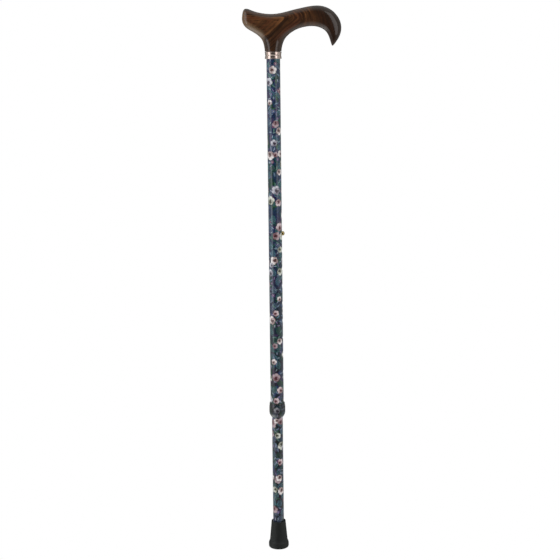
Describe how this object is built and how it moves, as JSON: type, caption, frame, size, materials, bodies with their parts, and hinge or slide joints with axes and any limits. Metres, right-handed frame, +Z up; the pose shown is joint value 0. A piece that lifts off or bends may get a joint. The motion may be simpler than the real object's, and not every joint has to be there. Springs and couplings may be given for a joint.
{
  "type": "single point cane",
  "caption": "Height-adjustable walking cane: derby handle on a patterned telescoping shaft, spring-button holes, screw lock collar, rubber ferrule.",
  "frame": {"origin": "middle of the ferrule's flat foot, on the shaft's axis", "axes": "+Z up the shaft to the handle, +X the way the handle's hooked nose and the snap button point, Y across the handle"},
  "size_m": [0.1371, 0.0296, 0.7894],
  "materials": {
    "handle_wood": "gloss",
    "neck_band": "polished",
    "upper_print": "gloss",
    "lower_print": "gloss",
    "collar_print": "gloss",
    "button_brass": "polished",
    "ferrule_rubber": "matte",
    "steel_hardware": "satin",
    "spring_steel": "satin",
    "white_nylon": "satin",
    "black_nylon": "satin"
  },
  "bodies": {
    "upper_shaft": {"derby_handle": "handle_wood", "handle_stud": "steel_hardware", "top_plug": "white_nylon", "plug_washer": "steel_hardware", "plug_nut": "steel_hardware", "neck_collar": "neck_band", "upper_tube": "upper_print"},
    "grip_ring": {"grip_ring": "black_nylon"},
    "lock_collar": {"lock_collar": "collar_print"},
    "lower_shaft": {"lower_tube": "lower_print", "guide_bush": "white_nylon", "spring_clip": "spring_steel", "rubber_ferrule": "ferrule_rubber", "ferrule_washer": "steel_hardware"},
    "snap_button": {"snap_button": "button_brass"}
  },
  "joints": [
    {"name": "tube_slide", "type": "slide", "parent": "upper_shaft", "child": "lower_shaft", "axis": [0, 0, 1], "range_m": [-0.2032, 0.0254]},
    {"name": "button_press", "type": "slide", "parent": "lower_shaft", "child": "snap_button", "axis": [-1, 0, 0], "range_m": [0, 0.0055], "stiffness_N_per_m": 1200, "springref_m": -0.003, "deforming": ["spring_clip", "snap_button"]},
    {"name": "lock_collar_travel", "type": "slide", "parent": "upper_shaft", "child": "grip_ring", "axis": [0, 0, 1], "range_m": [-0.0045, 0]},
    {"name": "lock_collar_turn", "type": "hinge", "parent": "grip_ring", "child": "lock_collar", "pos_m": [0, 0, 0.211], "axis": [0, 0, 1], "range_deg": [-545, 5]}
  ],
  "couplings": [
    {"joint": "lock_collar_turn", "follows": "lock_collar_travel", "rad_per_m": 2094.4}
  ]
}
